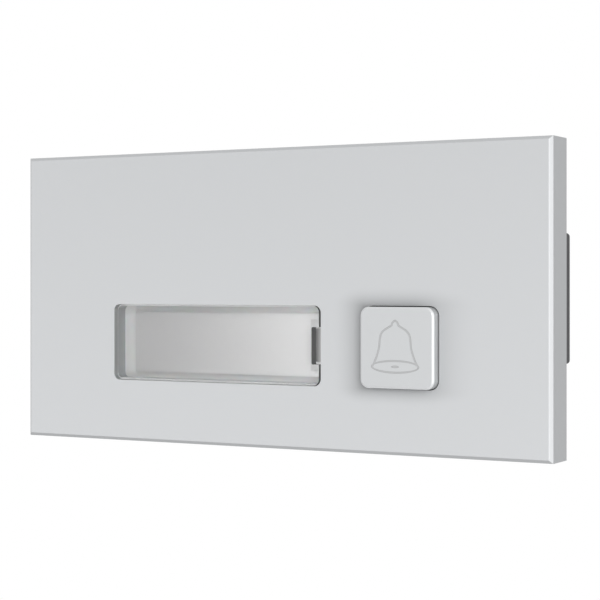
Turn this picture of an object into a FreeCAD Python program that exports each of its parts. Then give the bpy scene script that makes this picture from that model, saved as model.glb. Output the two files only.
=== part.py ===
"""A lit bell push with a name window, let into a wall.

Millimetres. X runs to the right, Z up and Y into the wall. The origin is the
centre of the front plate's back rim, which lies on the wall, so the plate
stands in -Y and the housing sinks into the wall along +Y.
"""
import FreeCAD, Part
import math
import os
from FreeCAD import Vector

# Front plate: one milled aluminium piece, open at the back
plate_width = 160.0
plate_height = 80.0
plate_chamfer = 0.85
face_wall = 3.0
rim_wall = 3.0
pocket_radius = 3.0
window_margin = 30.2
button_margin = 30.1
row_gap = 12.6
row_drop = 12.45

# Name window, its opening and its collar behind the face
opening_height = 21.1
opening_radius = 1.9
window_thickness = 2.5
window_edge_gap = 0.12
pry_end_gap = 0.5
window_ledge = 0.5
window_end_ledge = 0.1
pry_notch_width = 2.2
pry_notch_height = 9.6
pry_notch_radius = 0.35
window_collar_wall = 1.6

# Name card and the light-spreading tray that carries it
card_inset_x = 3.3
card_inset_z = 2.15
card_slip = 1.0
card_thickness = 0.3
card_table_height = 0.5
card_table_inset = 0.3
tray_floor = 1.4
tray_back_gap = 0.6
tray_ear_inset = 9.0

# Push button: cap, engraved bell and the carrier behind it
button_width = 20.8
button_radius = 2.3
button_gap = 0.25
button_proud = 2.7
button_chamfer = 0.45
button_travel = 1.5
press_clearance = 0.5
cap_face_wall = 2.2
cap_side_wall = 1.7
cap_cavity_radius = 0.8
carrier_fit = 0.1
flange_overhang = 1.5
flange_thickness = 1.4
flange_radius = 3.0
button_collar_wall = 1.4
button_collar_depth = 4.0
seal_thickness = 0.6

# Guide frame round the flange
guide_clearance = 0.1
guide_wall = 2.0
guide_back_gap = 0.4

# Bell drawing, measured from the bell's own middle line
bell_offset_x = -0.35
bell_line = 0.52
bell_engraving = 0.25
bell_side = [
    (0.93, 5.75),
    (2.37, 4.90),
    (3.61, 3.98),
    (4.27, 2.39),
    (4.46, 0.30),
    (4.85, -1.24),
    (5.68, -3.40),
    (6.52, -4.77),
]
bell_knob_side = (0.66, 6.45)
bell_knob_top = 6.94
bell_mouth_half_height = 1.48
bell_clapper_half_width = 1.15
bell_clapper_half_height = 0.33

# Cross recess of every screw, as shares of its head
recess_length_share = 1.1
recess_width_share = 0.22
recess_depth_share = 0.6

# Small screws that hold the tray and the guide to the plate
small_screw_diameter = 2.0
small_screw_head = 3.8
small_screw_bite = 1.0
screw_hole_clearance = 0.05
boss_radius = 2.5
ear_radius = 2.8
ear_reach = 2.6
ear_thickness = 1.4
guide_ear_drop = 8.0

# Screws that hold the cap on its carrier
carrier_screw_bite = 1.0
carrier_screw_inset = 2.4

# Circuit board on four hexagonal spacers
board_thickness = 1.6
board_clearance = 1.0
board_end_margin = 3.5
board_corner_radius = 1.0
spacer_across_flats = 4.5
spacer_length = 8.0
spacer_stud_radius = 1.25
spacer_stud_length = 1.8
spacer_bore_spare = 1.5
spacer_stand_off = 4.5
spacer_half_spacing_z = 9.0
board_screw_radius = 1.25
board_screw_bite = 2.5
board_screw_head_radius = 2.3
board_screw_head_height = 1.5

# Push switch at the board's lower edge, and the springs either side of it
switch_edge_margin = 0.3
switch_width = 6.2
switch_press_gap = 0.3
switch_chamfer = 0.3
switch_leg_radius = 0.4
switch_leg_reach = 1.0
plunger_radius = 1.5
plunger_hold = 1.25
plunger_clearance = 0.05
plunger_gap = 0.05
switch_overtravel = 0.05
spring_switch_gap = 0.5
spring_pocket_clearance = 0.3
spring_pocket_depth = 4.0
spring_outer_radius = 2.0
spring_wire_radius = 0.25
spring_turns = 6.5

# Lamps and the small parts that feed them
lamp_count = 3
lamp_end_inset = 12.0
lamp_width = 3.5
lamp_height = 2.8
lamp_depth = 1.9
lamp_lens_radius = 1.1
lamp_lens_depth = 0.4
lamp_edge_margin = 1.0
resistor_length = 3.2
resistor_width = 1.6
resistor_height = 0.6
resistor_cap = 0.45
resistor_band_rise = 0.06
resistor_pitch = 6.0
resistor_stand_off = 10.0
rectifier_width = 4.7
rectifier_height = 4.0
rectifier_depth = 2.4
rectifier_leg_width = 0.7
rectifier_leg_reach = 1.2
rectifier_leg_thickness = 0.25
rectifier_leg_pitch = 2.54
rectifier_stand_off = 15.35

# Two-pole screw terminal on the back of the board
pole_pitch = 5.08
terminal_stand_off = 24.1
terminal_depth = 10.0
terminal_height = 8.6
terminal_end_wall = 0.75
chamber_width = 3.6
chamber_depth = 4.4
chamber_reach = 6.6
chamber_floor = 1.6
clamp_fit = 0.1
clamp_bore_radius = 1.2
terminal_screw_radius = 1.25
terminal_screw_head_radius = 1.55
terminal_screw_head_height = 1.4
terminal_screw_sink = 0.8
terminal_screw_bite = 1.1
terminal_pin_radius = 0.5
terminal_pin_reach = 1.0

# Rear housing, sunk into the wall
housing_end_inset = 6.0
housing_height = 34.0
housing_rear_y = 18.8
housing_wall = 2.0
housing_radius = 1.0
housing_boss_inset = 3.0
housing_screw_radius = 1.5
housing_screw_length = 9.0
housing_screw_head_radius = 2.5
housing_screw_head_height = 1.0

# Rubber cable grommet in the housing's back
grommet_end_inset = 44.0
grommet_bore_radius = 3.0
grommet_neck_radius = 5.0
grommet_flange_radius = 7.0
grommet_inner_flange = 1.2
grommet_outer_flange = 0.8

# Steel mounting plate and the foam gasket behind it
mount_clearance = 1.0
mount_thickness = 1.2
mount_radius = 2.5
mount_opening_end_margin = 1.5
mount_opening_lip = 0.5
gasket_thickness = 0.8
gasket_housing_gap = 0.5
gasket_slot_margin = 0.5
wall_slot_end_inset = 16.0
wall_slot_rise = 0.5
wall_slot_length = 8.0
wall_slot_width = 4.4

# Hooks above and tapped tabs below that carry the front plate
tab_end_inset = 21.0
tab_width = 12.0
hook_reach = 3.4
hook_lip = 1.2
hook_groove_gap = 0.3
hook_groove_side_gap = 0.5
tab_reach = 4.2
tab_hole_reach = 2.0
grub_radius = 1.5
grub_length = 6.0
grub_sink = 0.6
grub_socket_flats = 1.5
grub_socket_depth = 1.6
grub_hole_clearance = 0.1

# Depths that follow from the sizes above: the plate is as deep as what it holds
press_room = button_travel + press_clearance
button_stack = button_collar_depth + seal_thickness + flange_thickness + press_room
plate_depth = button_stack + mount_thickness + gasket_thickness
front_y = -plate_depth
pocket_y = front_y + face_wall
gasket_y = -gasket_thickness
mount_front_y = gasket_y - mount_thickness
window_collar_y = mount_front_y - tray_back_gap - tray_floor
button_collar_y = front_y + button_collar_depth
cap_front_y = front_y - button_proud
flange_front_y = button_collar_y + seal_thickness
flange_back_y = flange_front_y + flange_thickness
ear_back_y = window_collar_y + ear_thickness
board_front_y = pocket_y + spacer_length
board_back_y = board_front_y + board_thickness
switch_front_y = flange_back_y + button_travel + switch_press_gap
plunger_tip_y = flange_back_y + plunger_gap
plunger_end_y = switch_front_y + plunger_hold
housing_front_y = gasket_y
hook_front_y = mount_front_y - hook_reach
tab_front_y = mount_front_y - tab_reach
grub_y = mount_front_y - tab_hole_reach

# Widths, heights and places that follow
hole_width = button_width + 2 * button_gap
hole_radius = button_radius + button_gap
opening_width = plate_width - window_margin - button_margin - row_gap - hole_width
window_x = -plate_width / 2 + window_margin + opening_width / 2
button_x = plate_width / 2 - button_margin - hole_width / 2
row_centre_z = -row_drop
window_collar_width = opening_width + 2 * window_collar_wall
window_collar_height = opening_height + 2 * window_collar_wall
button_collar_width = hole_width + 2 * button_collar_wall
button_collar_radius = hole_radius + button_collar_wall
flange_width = hole_width + 2 * flange_overhang
core_width = button_width - 2 * cap_side_wall - 2 * carrier_fit
guide_inner_width = flange_width + 2 * guide_clearance
guide_outer_width = guide_inner_width + 2 * guide_wall
housing_width = plate_width - 2 * housing_end_inset
housing_boss_x = housing_width / 2 - housing_wall - housing_boss_inset
housing_boss_z = housing_height / 2 - housing_wall - housing_boss_inset
mount_width = plate_width - 2 * rim_wall - 2 * mount_clearance
mount_height = plate_height - 2 * rim_wall - 2 * mount_clearance
mount_opening_end = housing_boss_x - housing_screw_head_radius - mount_opening_end_margin
mount_opening_width = 2 * mount_opening_end
mount_opening_height = housing_height - 2 * housing_wall - 2 * mount_opening_lip
board_height = mount_opening_height - 2 * board_clearance
wall_slot_x = mount_width / 2 - wall_slot_end_inset
wall_slot_z = (mount_height / 2 + housing_height / 2) / 2 + wall_slot_rise
tab_x = mount_width / 2 - tab_end_inset
grommet_x = housing_width / 2 - grommet_end_inset
spacer_left_x = window_x - window_collar_width / 2 - spacer_stand_off
spacer_right_x = button_x + guide_outer_width / 2 + spacer_stand_off
switch_z = -board_height / 2 + switch_edge_margin + switch_width / 2
lamp_z = -board_height / 2 + lamp_edge_margin + lamp_height / 2
lamp_spacing = (opening_width - 2 * lamp_end_inset) / (lamp_count - 1)
terminal_x = spacer_left_x + terminal_stand_off
rectifier_x = button_x - rectifier_stand_off
spring_offset_x = switch_width / 2 + spring_switch_gap + spring_outer_radius
spring_pocket_radius = spring_outer_radius + spring_pocket_clearance

# Screw lengths that follow from what each screw passes through
small_screw_length = ear_thickness + window_collar_y - pocket_y + small_screw_bite
carrier_screw_length = flange_back_y - cap_front_y - cap_face_wall + carrier_screw_bite
board_screw_length = board_screw_head_height + board_thickness + board_screw_bite
spacer_bore_depth = board_screw_bite + spacer_bore_spare

tray_ear_z = window_collar_height / 2 + ear_reach
tray_ear_x = opening_width / 2 - tray_ear_inset
guide_ear_x = guide_outer_width / 2 + ear_reach
tray_ears = [
    (window_x + side * tray_ear_x, row_centre_z + rise * tray_ear_z)
    for side in (-1, 1)
    for rise in (-1, 1)
]
guide_ears = [
    (button_x + side * guide_ear_x, row_centre_z - side * guide_ear_drop) for side in (-1, 1)
]
small_screw_places = tray_ears + guide_ears
carrier_screw_reach = core_width / 2 - carrier_screw_inset
carrier_screw_places = [
    (button_x - carrier_screw_reach, row_centre_z - carrier_screw_reach),
    (button_x + carrier_screw_reach, row_centre_z - carrier_screw_reach),
    (button_x, row_centre_z + carrier_screw_reach),
]
spacer_places = [
    (x, rise * spacer_half_spacing_z)
    for x in (spacer_left_x, spacer_right_x)
    for rise in (-1, 1)
]
housing_screw_places = [
    (side * housing_boss_x, rise * housing_boss_z) for side in (-1, 1) for rise in (-1, 1)
]
wall_slot_places = [
    (side * wall_slot_x, rise * wall_slot_z)
    for side in (-1, 1)
    for rise in (-1, 1)
]
spring_places = [(button_x + side * spring_offset_x, switch_z) for side in (-1, 1)]
lamp_places = [
    (window_x + (i - (lamp_count - 1) / 2) * lamp_spacing, lamp_z) for i in range(lamp_count)
]
band_steps_per_point = 3
cut_over = 1.0


def slab(width, height, y_front, y_back, centre=(0.0, 0.0), radius=0.0):
    """A block between two depths, with the edges that run along Y rounded."""
    corner = Vector(centre[0] - width / 2, y_front, centre[1] - height / 2)
    block = Part.makeBox(width, y_back - y_front, height, corner)
    if radius <= 0:
        return block
    along_y = [e for e in block.Edges if abs(e.Vertexes[0].Y - e.Vertexes[1].Y) > cut_over / 1000]
    return block.makeFillet(radius, along_y)


def rod(radius, y_front, y_back, centre):
    """A round bar along Y between two depths."""
    base = Vector(centre[0], y_front, centre[1])
    return Part.makeCylinder(radius, y_back - y_front, base, Vector(0, 1, 0))


def slot(length, width, y_front, y_back, centre):
    """A slotted hole's cutter: straight sides along X and round ends."""
    half_run = (length - width) / 2
    body = slab(2 * half_run, width, y_front, y_back, centre)
    for side in (-1, 1):
        body = body.fuse(rod(width / 2, y_front, y_back, (centre[0] + side * half_run, centre[1])))
    return body.removeSplitter()


def hexagon(across_flats, y_front, y_back, centre):
    """A hexagonal bar along Y between two depths."""
    reach = across_flats / math.sqrt(3)
    corners = []
    for i in range(7):
        turn = math.radians(60 * i)
        x = centre[0] + reach * math.cos(turn)
        z = centre[1] + reach * math.sin(turn)
        corners.append(Vector(x, y_front, z))
    outline = Part.Face(Part.makePolygon(corners))
    return outline.extrude(Vector(0, y_back - y_front, 0))


def front_edges(body, y):
    """The edges of a body that lie wholly at one depth."""
    return [e for e in body.Edges if all(abs(v.Y - y) < cut_over / 1000 for v in e.Vertexes)]


def screw(radius, length, head_radius, head_height, countersunk):
    """A screw that points along +Y, its head's outer face at the origin."""
    along = Vector(0, 1, 0)
    start = Vector(0, 0, 0)
    if countersunk:
        head = Part.makeCone(head_radius, radius, head_height, start, along)
    else:
        head = Part.makeCylinder(head_radius, head_height, start, along)
    body = head.fuse(Part.makeCylinder(radius, length, start, along))
    recess_length = recess_length_share * head_radius
    recess_width = recess_width_share * head_radius
    recess_depth = recess_depth_share * head_height
    for wide, tall in ((recess_length, recess_width), (recess_width, recess_length)):
        body = body.cut(slab(wide, tall, -cut_over, recess_depth))
    return body.removeSplitter()


def placed(shape, x, y, z, faces_wall=True):
    """A copy of a shape at a place, turned to point at the room if asked."""
    copy = shape.copy()
    if not faces_wall:
        copy.rotate(Vector(0, 0, 0), Vector(0, 0, 1), 180)
    copy.translate(Vector(x, y, z))
    return copy


def countersink(radius, head_radius, head_height, y_face, centre):
    """A cutter for a countersunk head that lies flush with a face, looking from +Y."""
    base = Vector(centre[0], y_face, centre[1])
    gap = screw_hole_clearance
    return Part.makeCone(head_radius + gap, radius + gap, head_height, base, Vector(0, -1, 0))


def line_band(points, width):
    """A flat band of one width along a smooth curve in the XY plane."""
    curve = Part.BSplineCurve()
    curve.interpolate([Vector(x, y, 0) for x, y in points])
    steps = band_steps_per_point * len(points)
    first, last = curve.FirstParameter, curve.LastParameter
    sides = {-1: [], 1: []}
    for i in range(steps + 1):
        at = first + (last - first) * i / steps
        along = curve.tangent(at)[0]
        across = Vector(-along.y, along.x, 0)
        for side in sides:
            sides[side].append(curve.value(at) + across * (side * width / 2))
    edges = []
    for side in sides:
        rail = Part.BSplineCurve()
        rail.interpolate(sides[side])
        edges.append(rail.toShape())
    for end in (0, -1):
        edges.append(Part.makeLine(sides[-1][end], sides[1][end]))
    return Part.Face(Part.Wire(Part.__sortEdges__(edges)))


def ellipse_face(centre_y, half_width, half_height):
    """A flat ellipse in the XY plane, centred on X = 0."""
    curve = Part.Ellipse(Vector(0, centre_y, 0), half_width, half_height)
    return Part.Face(Part.Wire(curve.toShape()))


def bell_groove():
    """The bell drawing as one cutter, ready to cut from the cap's face."""
    half = bell_line / 2
    mouth_half_width, mouth_y = bell_side[-1]
    faces = []
    for side in (-1, 1):
        flank = [(side * x, y) for x, y in bell_side]
        faces.append(line_band(flank, bell_line))
        knob = [flank[0], (side * bell_knob_side[0], bell_knob_side[1]), (0.0, bell_knob_top)]
        faces.append(line_band(knob, bell_line))
        for x, y in (flank[0], flank[-1]):
            corner = Part.makeCircle(half, Vector(x, y, 0))
            faces.append(Part.Face(Part.Wire(corner)))
    faces.append(Part.Face(Part.Wire(Part.makeCircle(half, Vector(0, bell_knob_top, 0)))))
    outer = ellipse_face(mouth_y, mouth_half_width + half, bell_mouth_half_height + half)
    inner = ellipse_face(mouth_y, mouth_half_width - half, bell_mouth_half_height - half)
    faces.append(outer.cut(inner))
    faces.append(ellipse_face(mouth_y, bell_clapper_half_width, bell_clapper_half_height))
    drawing = faces[0].fuse(faces[1:]).removeSplitter()
    groove = drawing.extrude(Vector(0, 0, bell_engraving + cut_over))
    groove.translate(Vector(0, 0, -bell_engraving))
    groove.rotate(Vector(0, 0, 0), Vector(1, 0, 0), 90)
    groove.translate(Vector(button_x + bell_offset_x, cap_front_y, row_centre_z))
    return groove


def make_front_cover():
    """The plate: chamfered face, rear pocket, two openings with collars, bosses."""
    body = slab(plate_width, plate_height, front_y, 0)
    body = body.makeChamfer(plate_chamfer, front_edges(body, front_y))
    pocket_width = plate_width - 2 * rim_wall
    pocket_height = plate_height - 2 * rim_wall
    body = body.cut(slab(pocket_width, pocket_height, pocket_y, cut_over, radius=pocket_radius))
    window_centre = (window_x, row_centre_z)
    button_centre = (button_x, row_centre_z)
    window_collar = slab(
        window_collar_width,
        window_collar_height,
        pocket_y - face_wall / 2,
        window_collar_y,
        window_centre,
        opening_radius + window_collar_wall,
    )
    button_collar = slab(
        button_collar_width,
        button_collar_width,
        pocket_y - face_wall / 2,
        button_collar_y,
        button_centre,
        button_collar_radius,
    )
    body = body.fuse([window_collar, button_collar])
    bosses = [rod(boss_radius, pocket_y - face_wall / 2, window_collar_y, p) for p in small_screw_places]
    body = body.fuse(bosses)
    upper = slab(
        opening_width,
        opening_height,
        front_y - cut_over,
        front_y + window_thickness,
        window_centre,
        opening_radius,
    )
    lower = slab(
        opening_width - 2 * window_end_ledge,
        opening_height - 2 * window_ledge,
        front_y,
        window_collar_y + cut_over,
        window_centre,
        opening_radius - window_ledge,
    )
    hole = slab(
        hole_width,
        hole_width,
        front_y - cut_over,
        button_collar_y + cut_over,
        button_centre,
        hole_radius,
    )
    body = body.cut([upper, lower, hole])
    screw_radius = small_screw_diameter / 2 + screw_hole_clearance
    screw_end_y = ear_back_y - small_screw_length
    cuts = [
        rod(screw_radius, screw_end_y - 2 * screw_hole_clearance, window_collar_y + cut_over, p)
        for p in small_screw_places
    ]
    stud_end_y = pocket_y - spacer_stud_length
    cuts += [
        rod(spacer_stud_radius + screw_hole_clearance, stud_end_y - 2 * screw_hole_clearance, pocket_y, p)
        for p in spacer_places
    ]
    for side in (-1, 1):
        cuts.append(hook_groove(side * tab_x))
        cuts.append(grub_hole(side * tab_x))
    return body.cut(cuts).removeSplitter()


def hook_groove(x):
    """The groove in the top rim that a hook's lip enters."""
    inner_z = plate_height / 2 - rim_wall
    tip_z = inner_z + hook_lip + hook_groove_gap
    start_y = hook_front_y - hook_groove_gap
    end_y = hook_front_y + mount_thickness + hook_groove_gap
    width = tab_width + 2 * hook_groove_side_gap
    return Part.makeBox(
        width,
        end_y - start_y,
        tip_z - inner_z + cut_over,
        Vector(x - width / 2, start_y, inner_z - cut_over),
    )


def grub_hole(x):
    """The clearance hole in the bottom rim for a grub screw."""
    base = Vector(x, grub_y, -plate_height / 2 - cut_over)
    return Part.makeCylinder(
        grub_radius + grub_hole_clearance, rim_wall + 2 * cut_over, base, Vector(0, 0, 1)
    )


def make_name_window():
    """The clear pane, flush with the face, with a notch to pry it out."""
    width = opening_width - window_edge_gap - pry_end_gap
    height = opening_height - 2 * window_edge_gap
    back_y = front_y + window_thickness
    middle_x = window_x + (window_edge_gap - pry_end_gap) / 2
    centre = (middle_x, row_centre_z)
    body = slab(width, height, front_y, back_y, centre, opening_radius - window_edge_gap)
    right_x = middle_x + width / 2
    notch = slab(
        2 * pry_notch_width,
        pry_notch_height,
        front_y - cut_over,
        back_y + cut_over,
        (right_x, row_centre_z),
        pry_notch_radius,
    )
    return body.cut(notch)


def make_card_tray():
    """The opal tray: a floor across the collar, a raised table and four ears."""
    centre = (window_x, row_centre_z)
    body = slab(
        window_collar_width,
        window_collar_height,
        window_collar_y,
        window_collar_y + tray_floor,
        centre,
        opening_radius + window_collar_wall,
    )
    table = slab(
        opening_width - 2 * (card_inset_x + card_table_inset),
        opening_height - 2 * (card_inset_z + card_table_inset),
        window_collar_y - card_table_height,
        window_collar_y + tray_floor / 2,
        centre,
    )
    body = body.fuse(table)
    return add_ears(body, tray_ears, centre)


def make_name_card():
    """The blank card on the tray's table, slipped towards the button's side."""
    back_y = window_collar_y - card_table_height
    return slab(
        opening_width - 2 * card_inset_x,
        opening_height - 2 * card_inset_z,
        back_y - card_thickness,
        back_y,
        (window_x + card_slip, row_centre_z),
    )


def add_ears(body, places, centre, sideways=False):
    """Screw ears that reach from a body to its bosses, with countersunk holes."""
    for x, z in places:
        neck_width, neck_height = 2 * ear_radius, ear_reach
        neck_x, neck_z = x, z - math.copysign(ear_reach / 2, z - centre[1])
        if sideways:
            neck_width, neck_height = neck_height, neck_width
            neck_x, neck_z = x - math.copysign(ear_reach / 2, x - centre[0]), z
        neck = slab(neck_width, neck_height, window_collar_y, ear_back_y, (neck_x, neck_z))
        body = body.fuse([rod(ear_radius, window_collar_y, ear_back_y, (x, z)), neck])
    head_radius = small_screw_head / 2
    radius = small_screw_diameter / 2
    for place in places:
        hole = rod(radius + screw_hole_clearance, window_collar_y - cut_over, ear_back_y + cut_over, place)
        sink = countersink(radius, head_radius, head_radius - radius, ear_back_y, place)
        body = body.cut([hole, sink])
    return body.removeSplitter()


def make_push_button():
    """The square aluminium cap, hollow behind, with the bell cut in its face."""
    centre = (button_x, row_centre_z)
    body = slab(button_width, button_width, cap_front_y, flange_front_y, centre, button_radius)
    body = body.makeChamfer(button_chamfer, front_edges(body, cap_front_y))
    cavity = slab(
        button_width - 2 * cap_side_wall,
        button_width - 2 * cap_side_wall,
        cap_front_y + cap_face_wall,
        flange_front_y + cut_over,
        centre,
        cap_cavity_radius,
    )
    body = body.cut(cavity)
    radius = small_screw_diameter / 2 + screw_hole_clearance
    screw_end_y = flange_back_y - carrier_screw_length - 2 * screw_hole_clearance
    for place in carrier_screw_places:
        body = body.cut(rod(radius, screw_end_y, flange_front_y, place))
    return body.cut(bell_groove())


def make_button_carrier():
    """The moulded carrier: a core that fills the cap and a flange that stops it."""
    centre = (button_x, row_centre_z)
    core_front_y = cap_front_y + cap_face_wall + carrier_fit
    body = slab(flange_width, flange_width, flange_front_y, flange_back_y, centre, flange_radius)
    core = slab(
        core_width, core_width, core_front_y, flange_back_y, centre, cap_cavity_radius - carrier_fit
    )
    body = body.fuse(core)
    pocket_front_y = flange_back_y - spring_pocket_depth
    cuts = [
        rod(spring_pocket_radius, pocket_front_y, flange_back_y + cut_over, p) for p in spring_places
    ]
    radius = small_screw_diameter / 2
    head_radius = small_screw_head / 2
    for place in carrier_screw_places:
        cuts.append(
            rod(radius + screw_hole_clearance, core_front_y - cut_over, flange_back_y + cut_over, place)
        )
        cuts.append(countersink(radius, head_radius, head_radius - radius, flange_back_y, place))
    return body.cut(cuts).removeSplitter()


def make_carrier_screws():
    """The three screws that draw the cap on to its carrier."""
    radius = small_screw_diameter / 2
    head_radius = small_screw_head / 2
    pattern = screw(radius, carrier_screw_length, head_radius, head_radius - radius, True)
    return [placed(pattern, x, flange_back_y, z, faces_wall=False) for x, z in carrier_screw_places]


def make_button_seal():
    """The soft ring between the button's collar and the carrier's flange."""
    centre = (button_x, row_centre_z)
    outer = slab(
        button_collar_width,
        button_collar_width,
        button_collar_y,
        flange_front_y,
        centre,
        button_collar_radius,
    )
    inner = slab(
        hole_width,
        hole_width,
        button_collar_y - cut_over,
        flange_front_y + cut_over,
        centre,
        hole_radius,
    )
    return outer.cut(inner)


def make_button_guide():
    """The frame that the flange slides in, with an ear at each side."""
    centre = (button_x, row_centre_z)
    back_y = mount_front_y - guide_back_gap
    outer = slab(
        guide_outer_width, guide_outer_width, pocket_y, back_y, centre, flange_radius + guide_wall
    )
    inner = slab(
        guide_inner_width,
        guide_inner_width,
        pocket_y - cut_over,
        back_y + cut_over,
        centre,
        flange_radius + guide_clearance,
    )
    return add_ears(outer, guide_ears, centre, sideways=True).cut(inner)


def make_retainer_screws():
    """The small countersunk screws of the tray and the guide."""
    radius = small_screw_diameter / 2
    head_radius = small_screw_head / 2
    pattern = screw(radius, small_screw_length, head_radius, head_radius - radius, True)
    return [placed(pattern, x, ear_back_y, z, faces_wall=False) for x, z in small_screw_places]


def make_board_spacers():
    """Hexagonal spacers, each with a stud in the plate and a tapped back end."""
    spacers = []
    for place in spacer_places:
        body = hexagon(spacer_across_flats, pocket_y, board_front_y, place)
        body = body.fuse(rod(spacer_stud_radius, pocket_y - spacer_stud_length, board_front_y, place))
        bore_radius = board_screw_radius + screw_hole_clearance
        bore = rod(bore_radius, board_front_y - spacer_bore_depth, board_front_y + cut_over, place)
        spacers.append(body.cut(bore).removeSplitter())
    return spacers


def make_board_screws():
    """Pan-headed screws from behind the board into the spacers."""
    pattern = screw(
        board_screw_radius,
        board_screw_length,
        board_screw_head_radius,
        board_screw_head_height,
        False,
    )
    head_y = board_back_y + board_screw_head_height
    return [placed(pattern, x, head_y, z, faces_wall=False) for x, z in spacer_places]


def make_circuit_board():
    """The board, drilled for its screws and for the terminal's and switch's pins."""
    left = spacer_left_x - board_end_margin
    right = spacer_right_x + board_end_margin
    body = slab(
        right - left,
        board_height,
        board_front_y,
        board_back_y,
        ((left + right) / 2, 0.0),
        board_corner_radius,
    )
    start_y = board_front_y - cut_over
    end_y = board_back_y + cut_over
    holes = [
        rod(board_screw_radius + 2 * screw_hole_clearance, start_y, end_y, p) for p in spacer_places
    ]
    pin_radius = terminal_pin_radius + 2 * screw_hole_clearance
    holes += [rod(pin_radius, start_y, end_y, (x, 0.0)) for x in pole_places()]
    leg_radius = switch_leg_radius + screw_hole_clearance
    holes += [rod(leg_radius, start_y, end_y, p) for p in switch_leg_places()]
    return body.cut(holes)


def switch_leg_places():
    """The four corners where the switch's legs pass through the board."""
    reach = switch_width / 2 - 2 * switch_leg_radius
    return [
        (button_x + side * reach, switch_z + rise * reach) for side in (-1, 1) for rise in (-1, 1)
    ]


def make_switch_body():
    """The push switch, sealed but for the bore that its plunger slides in."""
    centre = (button_x, switch_z)
    body = slab(switch_width, switch_width, switch_front_y, board_front_y, centre)
    body = body.makeChamfer(switch_chamfer, front_edges(body, switch_front_y))
    legs = [
        rod(switch_leg_radius, switch_front_y / 2, board_back_y + switch_leg_reach, p)
        for p in switch_leg_places()
    ]
    body = body.fuse(legs)
    bore_end = plunger_end_y + button_travel + switch_overtravel
    bore = rod(plunger_radius + plunger_clearance, switch_front_y - cut_over, bore_end, centre)
    return body.cut(bore)


def make_switch_plunger():
    """The round plunger that the carrier pushes into the switch."""
    body = rod(plunger_radius, plunger_tip_y, plunger_end_y, (button_x, switch_z))
    return body.makeChamfer(switch_chamfer, front_edges(body, plunger_tip_y))


def make_return_springs():
    """Two coil springs from the board into the carrier's pockets."""
    front = flange_back_y - spring_pocket_depth
    run = board_front_y - front - 2 * spring_wire_radius
    radius = spring_outer_radius - spring_wire_radius
    helix = Part.makeHelix(run / spring_turns, run, radius)
    section = Part.Wire(Part.makeCircle(spring_wire_radius, Vector(radius, 0, 0), Vector(0, 1, 0)))
    coil = Part.Wire(helix.Edges).makePipeShell([section], True, True)
    coil.rotate(Vector(0, 0, 0), Vector(1, 0, 0), -90)
    return [placed(coil, x, front + spring_wire_radius, z) for x, z in spring_places]


def make_card_lights():
    """The lamps that light the tray from behind, on the board's front."""
    lamps = []
    for place in lamp_places:
        front = board_front_y - lamp_depth
        body = slab(lamp_width, lamp_height, front, board_front_y, place)
        lens = rod(lamp_lens_radius, front - cut_over, front + lamp_lens_depth, place)
        lamps.append(body.cut(lens))
    return lamps


def make_lamp_resistors():
    """One flat resistor for each lamp, with a raised band at each end."""
    resistors = []
    for i in range(lamp_count):
        centre = (rectifier_x - resistor_stand_off - i * resistor_pitch, 0.0)
        body = slab(
            resistor_width,
            resistor_length,
            board_back_y,
            board_back_y + resistor_height,
            centre,
        )
        waist = slab(
            resistor_width + cut_over,
            resistor_length - 2 * resistor_cap,
            board_back_y + resistor_height - resistor_band_rise,
            board_back_y + resistor_height + cut_over,
            centre,
        )
        resistors.append(body.cut(waist))
    return resistors


def make_bridge_rectifier():
    """The small four-legged rectifier that lets the lamps run on bell current."""
    base = board_back_y + rectifier_leg_thickness
    top = board_back_y + rectifier_depth
    body = slab(rectifier_width, rectifier_height, base, top, (rectifier_x, 0.0))
    body = body.makeChamfer(rectifier_leg_thickness, front_edges(body, top))
    for side in (-1, 1):
        for rise in (-1, 1):
            x = rectifier_x + side * (rectifier_width + rectifier_leg_reach) / 2
            z = rise * rectifier_leg_pitch / 2
            foot = slab(
                rectifier_leg_reach + rectifier_leg_thickness,
                rectifier_leg_width,
                board_back_y,
                board_back_y + rectifier_leg_thickness,
                (x, z),
            )
            shin = slab(
                2 * rectifier_leg_thickness,
                rectifier_leg_width,
                board_back_y,
                board_back_y + rectifier_depth / 2,
                (rectifier_x + side * rectifier_width / 2, z),
            )
            body = body.fuse([foot, shin])
    return body.removeSplitter()


def pole_places():
    """The terminal's poles along X."""
    return [terminal_x + side * pole_pitch / 2 for side in (-1, 1)]


def chamber(x, y_gap=0.0):
    """The space in the terminal that holds one wire clamp, open below."""
    start_y = board_back_y + chamber_floor + y_gap
    bottom_z = -terminal_height / 2
    return Part.makeBox(
        chamber_width - 2 * y_gap,
        chamber_depth - 2 * y_gap,
        chamber_reach - y_gap,
        Vector(x - chamber_width / 2 + y_gap, start_y, bottom_z),
    )


def make_terminal_block():
    """The terminal's moulding with a clamp chamber and a screw shaft for each pole."""
    width = 2 * pole_pitch + 2 * terminal_end_wall
    back = board_back_y + terminal_depth
    body = slab(width, terminal_height, board_back_y, back, (terminal_x, 0.0))
    body = body.makeChamfer(terminal_end_wall, front_edges(body, back))
    cuts = []
    for x in pole_places():
        clamp_top = board_back_y + chamber_floor + chamber_depth / 2
        cuts.append(chamber(x))
        shaft_radius = terminal_screw_head_radius + 2 * screw_hole_clearance
        cuts.append(rod(shaft_radius, clamp_top, back + cut_over, (x, 0.0)))
        pin_radius = terminal_pin_radius + screw_hole_clearance
        cuts.append(rod(pin_radius, board_back_y - cut_over, clamp_top, (x, 0.0)))
    return body.cut(cuts)


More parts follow.
